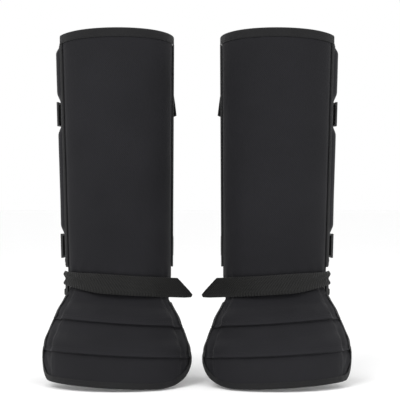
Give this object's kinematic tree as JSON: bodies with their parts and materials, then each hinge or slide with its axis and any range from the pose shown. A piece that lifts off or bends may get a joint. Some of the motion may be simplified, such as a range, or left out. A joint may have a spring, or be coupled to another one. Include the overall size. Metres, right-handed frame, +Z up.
{
  "type": "leg gaiters",
  "caption": "Pair of stiffened protective leg gaiters: shin panel, two side wings closed by webbing and side-release buckles, shingled boot shield, instep strap.",
  "frame": {"origin": "centre of the pair's footprint, on the surface it stands on", "axes": "+Z up the leg, -Y the way the gaiters face, the wearer's right gaiter at -X"},
  "size_m": [0.3844, 0.2148, 0.4451],
  "materials": {
    "shell_cloth": "matte woven nylon",
    "lining": "matte plain weave",
    "stiffener": "matte sheet",
    "binding_tape": "folded ribbed tape",
    "webbing": "ribbed flat webbing",
    "hardware": "satin moulded"
  },
  "bodies": {
    "shin_panels": {"right_shin_lining": "lining", "right_shin_insert": "stiffener", "right_shin_cover": "shell_cloth", "right_top_binding": "binding_tape", "left_shin_lining": "lining", "left_shin_insert": "stiffener", "left_shin_cover": "shell_cloth", "left_top_binding": "binding_tape"},
    "right_outer_wing": {"right_outer_wing_pocket": "shell_cloth", "right_outer_wing_insert": "stiffener", "right_upper_adjuster": "hardware", "right_upper_strap_outer": "webbing", "right_upper_female": "hardware", "right_lower_adjuster": "hardware", "right_lower_strap_outer": "webbing", "right_lower_female": "hardware"},
    "right_inner_wing": {"right_inner_wing_pocket": "shell_cloth", "right_inner_wing_insert": "stiffener", "right_upper_strap_inner": "webbing", "right_lower_strap_inner": "webbing"},
    "right_upper_plug": {"right_upper_male": "hardware", "right_upper_prongs": "hardware"},
    "right_lower_plug": {"right_lower_male": "hardware", "right_lower_prongs": "hardware"},
    "right_ankle_pad": {"right_upper_pad": "shell_cloth", "right_upper_pad_insert": "stiffener"},
    "right_middle_pad": {"right_middle_pad": "shell_cloth", "right_middle_pad_insert": "stiffener"},
    "right_toe_pad": {"right_toe_pad": "shell_cloth", "right_toe_pad_insert": "stiffener", "right_toe_binding": "binding_tape"},
    "right_stirrup": {"right_stirrup_strap": "webbing"},
    "right_lock": {"right_ladder_lock": "hardware"},
    "right_tail": {"right_strap_tail": "webbing"},
    "left_outer_wing": {"left_outer_wing_pocket": "shell_cloth", "left_outer_wing_insert": "stiffener", "left_upper_adjuster": "hardware", "left_upper_strap_outer": "webbing", "left_upper_female": "hardware", "left_lower_adjuster": "hardware", "left_lower_strap_outer": "webbing", "left_lower_female": "hardware"},
    "left_inner_wing": {"left_inner_wing_pocket": "shell_cloth", "left_inner_wing_insert": "stiffener", "left_upper_strap_inner": "webbing", "left_lower_strap_inner": "webbing"},
    "left_upper_plug": {"left_upper_male": "hardware", "left_upper_prongs": "hardware"},
    "left_lower_plug": {"left_lower_male": "hardware", "left_lower_prongs": "hardware"},
    "left_ankle_pad": {"left_upper_pad": "shell_cloth", "left_upper_pad_insert": "stiffener"},
    "left_middle_pad": {"left_middle_pad": "shell_cloth", "left_middle_pad_insert": "stiffener"},
    "left_toe_pad": {"left_toe_pad": "shell_cloth", "left_toe_pad_insert": "stiffener", "left_toe_binding": "binding_tape"},
    "left_stirrup": {"left_stirrup_strap": "webbing"},
    "left_lock": {"left_ladder_lock": "hardware"},
    "left_tail": {"left_strap_tail": "webbing"}
  },
  "joints": [
    {"name": "right_outer_wing_hinge", "type": "hinge", "parent": "shin_panels", "child": "right_outer_wing", "pos_m": [-0.166, 0.02076, 0.143], "axis": [-0.0288, -0.0004, 0.9996], "range_deg": [0, 100]},
    {"name": "right_inner_wing_hinge", "type": "hinge", "parent": "shin_panels", "child": "right_inner_wing", "pos_m": [-0.03211, 0.0349, 0.143], "axis": [0.0051, -0.0001, 1], "range_deg": [-95, 0]},
    {"name": "right_upper_plug_slide", "type": "slide", "parent": "right_inner_wing", "child": "right_upper_plug", "axis": [1, 0, 0], "range_m": [0, 0.028], "deforming": ["right_upper_prongs"]},
    {"name": "right_lower_plug_slide", "type": "slide", "parent": "right_inner_wing", "child": "right_lower_plug", "axis": [1, 0, 0], "range_m": [0, 0.028], "deforming": ["right_lower_prongs"]},
    {"name": "right_ankle_hinge", "type": "hinge", "parent": "shin_panels", "child": "right_ankle_pad", "pos_m": [-0.102, -0.00245, 0.127], "axis": [1, 0, 0], "range_deg": [-5, 10]},
    {"name": "right_middle_pleat", "type": "hinge", "parent": "right_ankle_pad", "child": "right_middle_pad", "pos_m": [-0.102, 0.00755, 0.08], "axis": [1, 0, 0], "range_deg": [0, 12]},
    {"name": "right_toe_pleat", "type": "hinge", "parent": "right_middle_pad", "child": "right_toe_pad", "pos_m": [-0.102, -0.01645, 0.042], "axis": [1, 0, 0], "range_deg": [0, 12]},
    {"name": "right_stirrup_hinge", "type": "hinge", "parent": "right_ankle_pad", "child": "right_stirrup", "pos_m": [-0.102, 0.03355, 0.113], "axis": [1, 0, 0], "range_deg": [-10, 15]},
    {"name": "right_lock_tilt", "type": "hinge", "parent": "right_ankle_pad", "child": "right_lock", "pos_m": [-0.16502, 0.03955, 0.124], "axis": [0, 1, 0], "range_deg": [0, 20]},
    {"name": "right_tail_swing", "type": "hinge", "parent": "right_ankle_pad", "child": "right_tail", "pos_m": [-0.16827, 0.0197, 0.1275], "axis": [0, 0, 1], "range_deg": [-80, 0]},
    {"name": "left_outer_wing_hinge", "type": "hinge", "parent": "shin_panels", "child": "left_outer_wing", "pos_m": [0.166, 0.02076, 0.143], "axis": [0.0288, -0.0004, 0.9996], "range_deg": [-100, 0]},
    {"name": "left_inner_wing_hinge", "type": "hinge", "parent": "shin_panels", "child": "left_inner_wing", "pos_m": [0.03211, 0.0349, 0.143], "axis": [-0.0051, -0.0001, 1], "range_deg": [0, 95]},
    {"name": "left_upper_plug_slide", "type": "slide", "parent": "left_inner_wing", "child": "left_upper_plug", "axis": [1, 0, 0], "range_m": [-0.028, 0], "deforming": ["left_upper_prongs"]},
    {"name": "left_lower_plug_slide", "type": "slide", "parent": "left_inner_wing", "child": "left_lower_plug", "axis": [1, 0, 0], "range_m": [-0.028, 0], "deforming": ["left_lower_prongs"]},
    {"name": "left_ankle_hinge", "type": "hinge", "parent": "shin_panels", "child": "left_ankle_pad", "pos_m": [0.102, -0.00245, 0.127], "axis": [1, 0, 0], "range_deg": [-5, 10]},
    {"name": "left_middle_pleat", "type": "hinge", "parent": "left_ankle_pad", "child": "left_middle_pad", "pos_m": [0.102, 0.00755, 0.08], "axis": [1, 0, 0], "range_deg": [0, 12]},
    {"name": "left_toe_pleat", "type": "hinge", "parent": "left_middle_pad", "child": "left_toe_pad", "pos_m": [0.102, -0.01645, 0.042], "axis": [1, 0, 0], "range_deg": [0, 12]},
    {"name": "left_stirrup_hinge", "type": "hinge", "parent": "left_ankle_pad", "child": "left_stirrup", "pos_m": [0.102, 0.03355, 0.113], "axis": [1, 0, 0], "range_deg": [-10, 15]},
    {"name": "left_lock_tilt", "type": "hinge", "parent": "left_ankle_pad", "child": "left_lock", "pos_m": [0.16502, 0.03955, 0.124], "axis": [0, 1, 0], "range_deg": [-20, 0]},
    {"name": "left_tail_swing", "type": "hinge", "parent": "left_ankle_pad", "child": "left_tail", "pos_m": [0.16827, 0.0197, 0.1275], "axis": [0, 0, 1], "range_deg": [0, 80]}
  ]
}
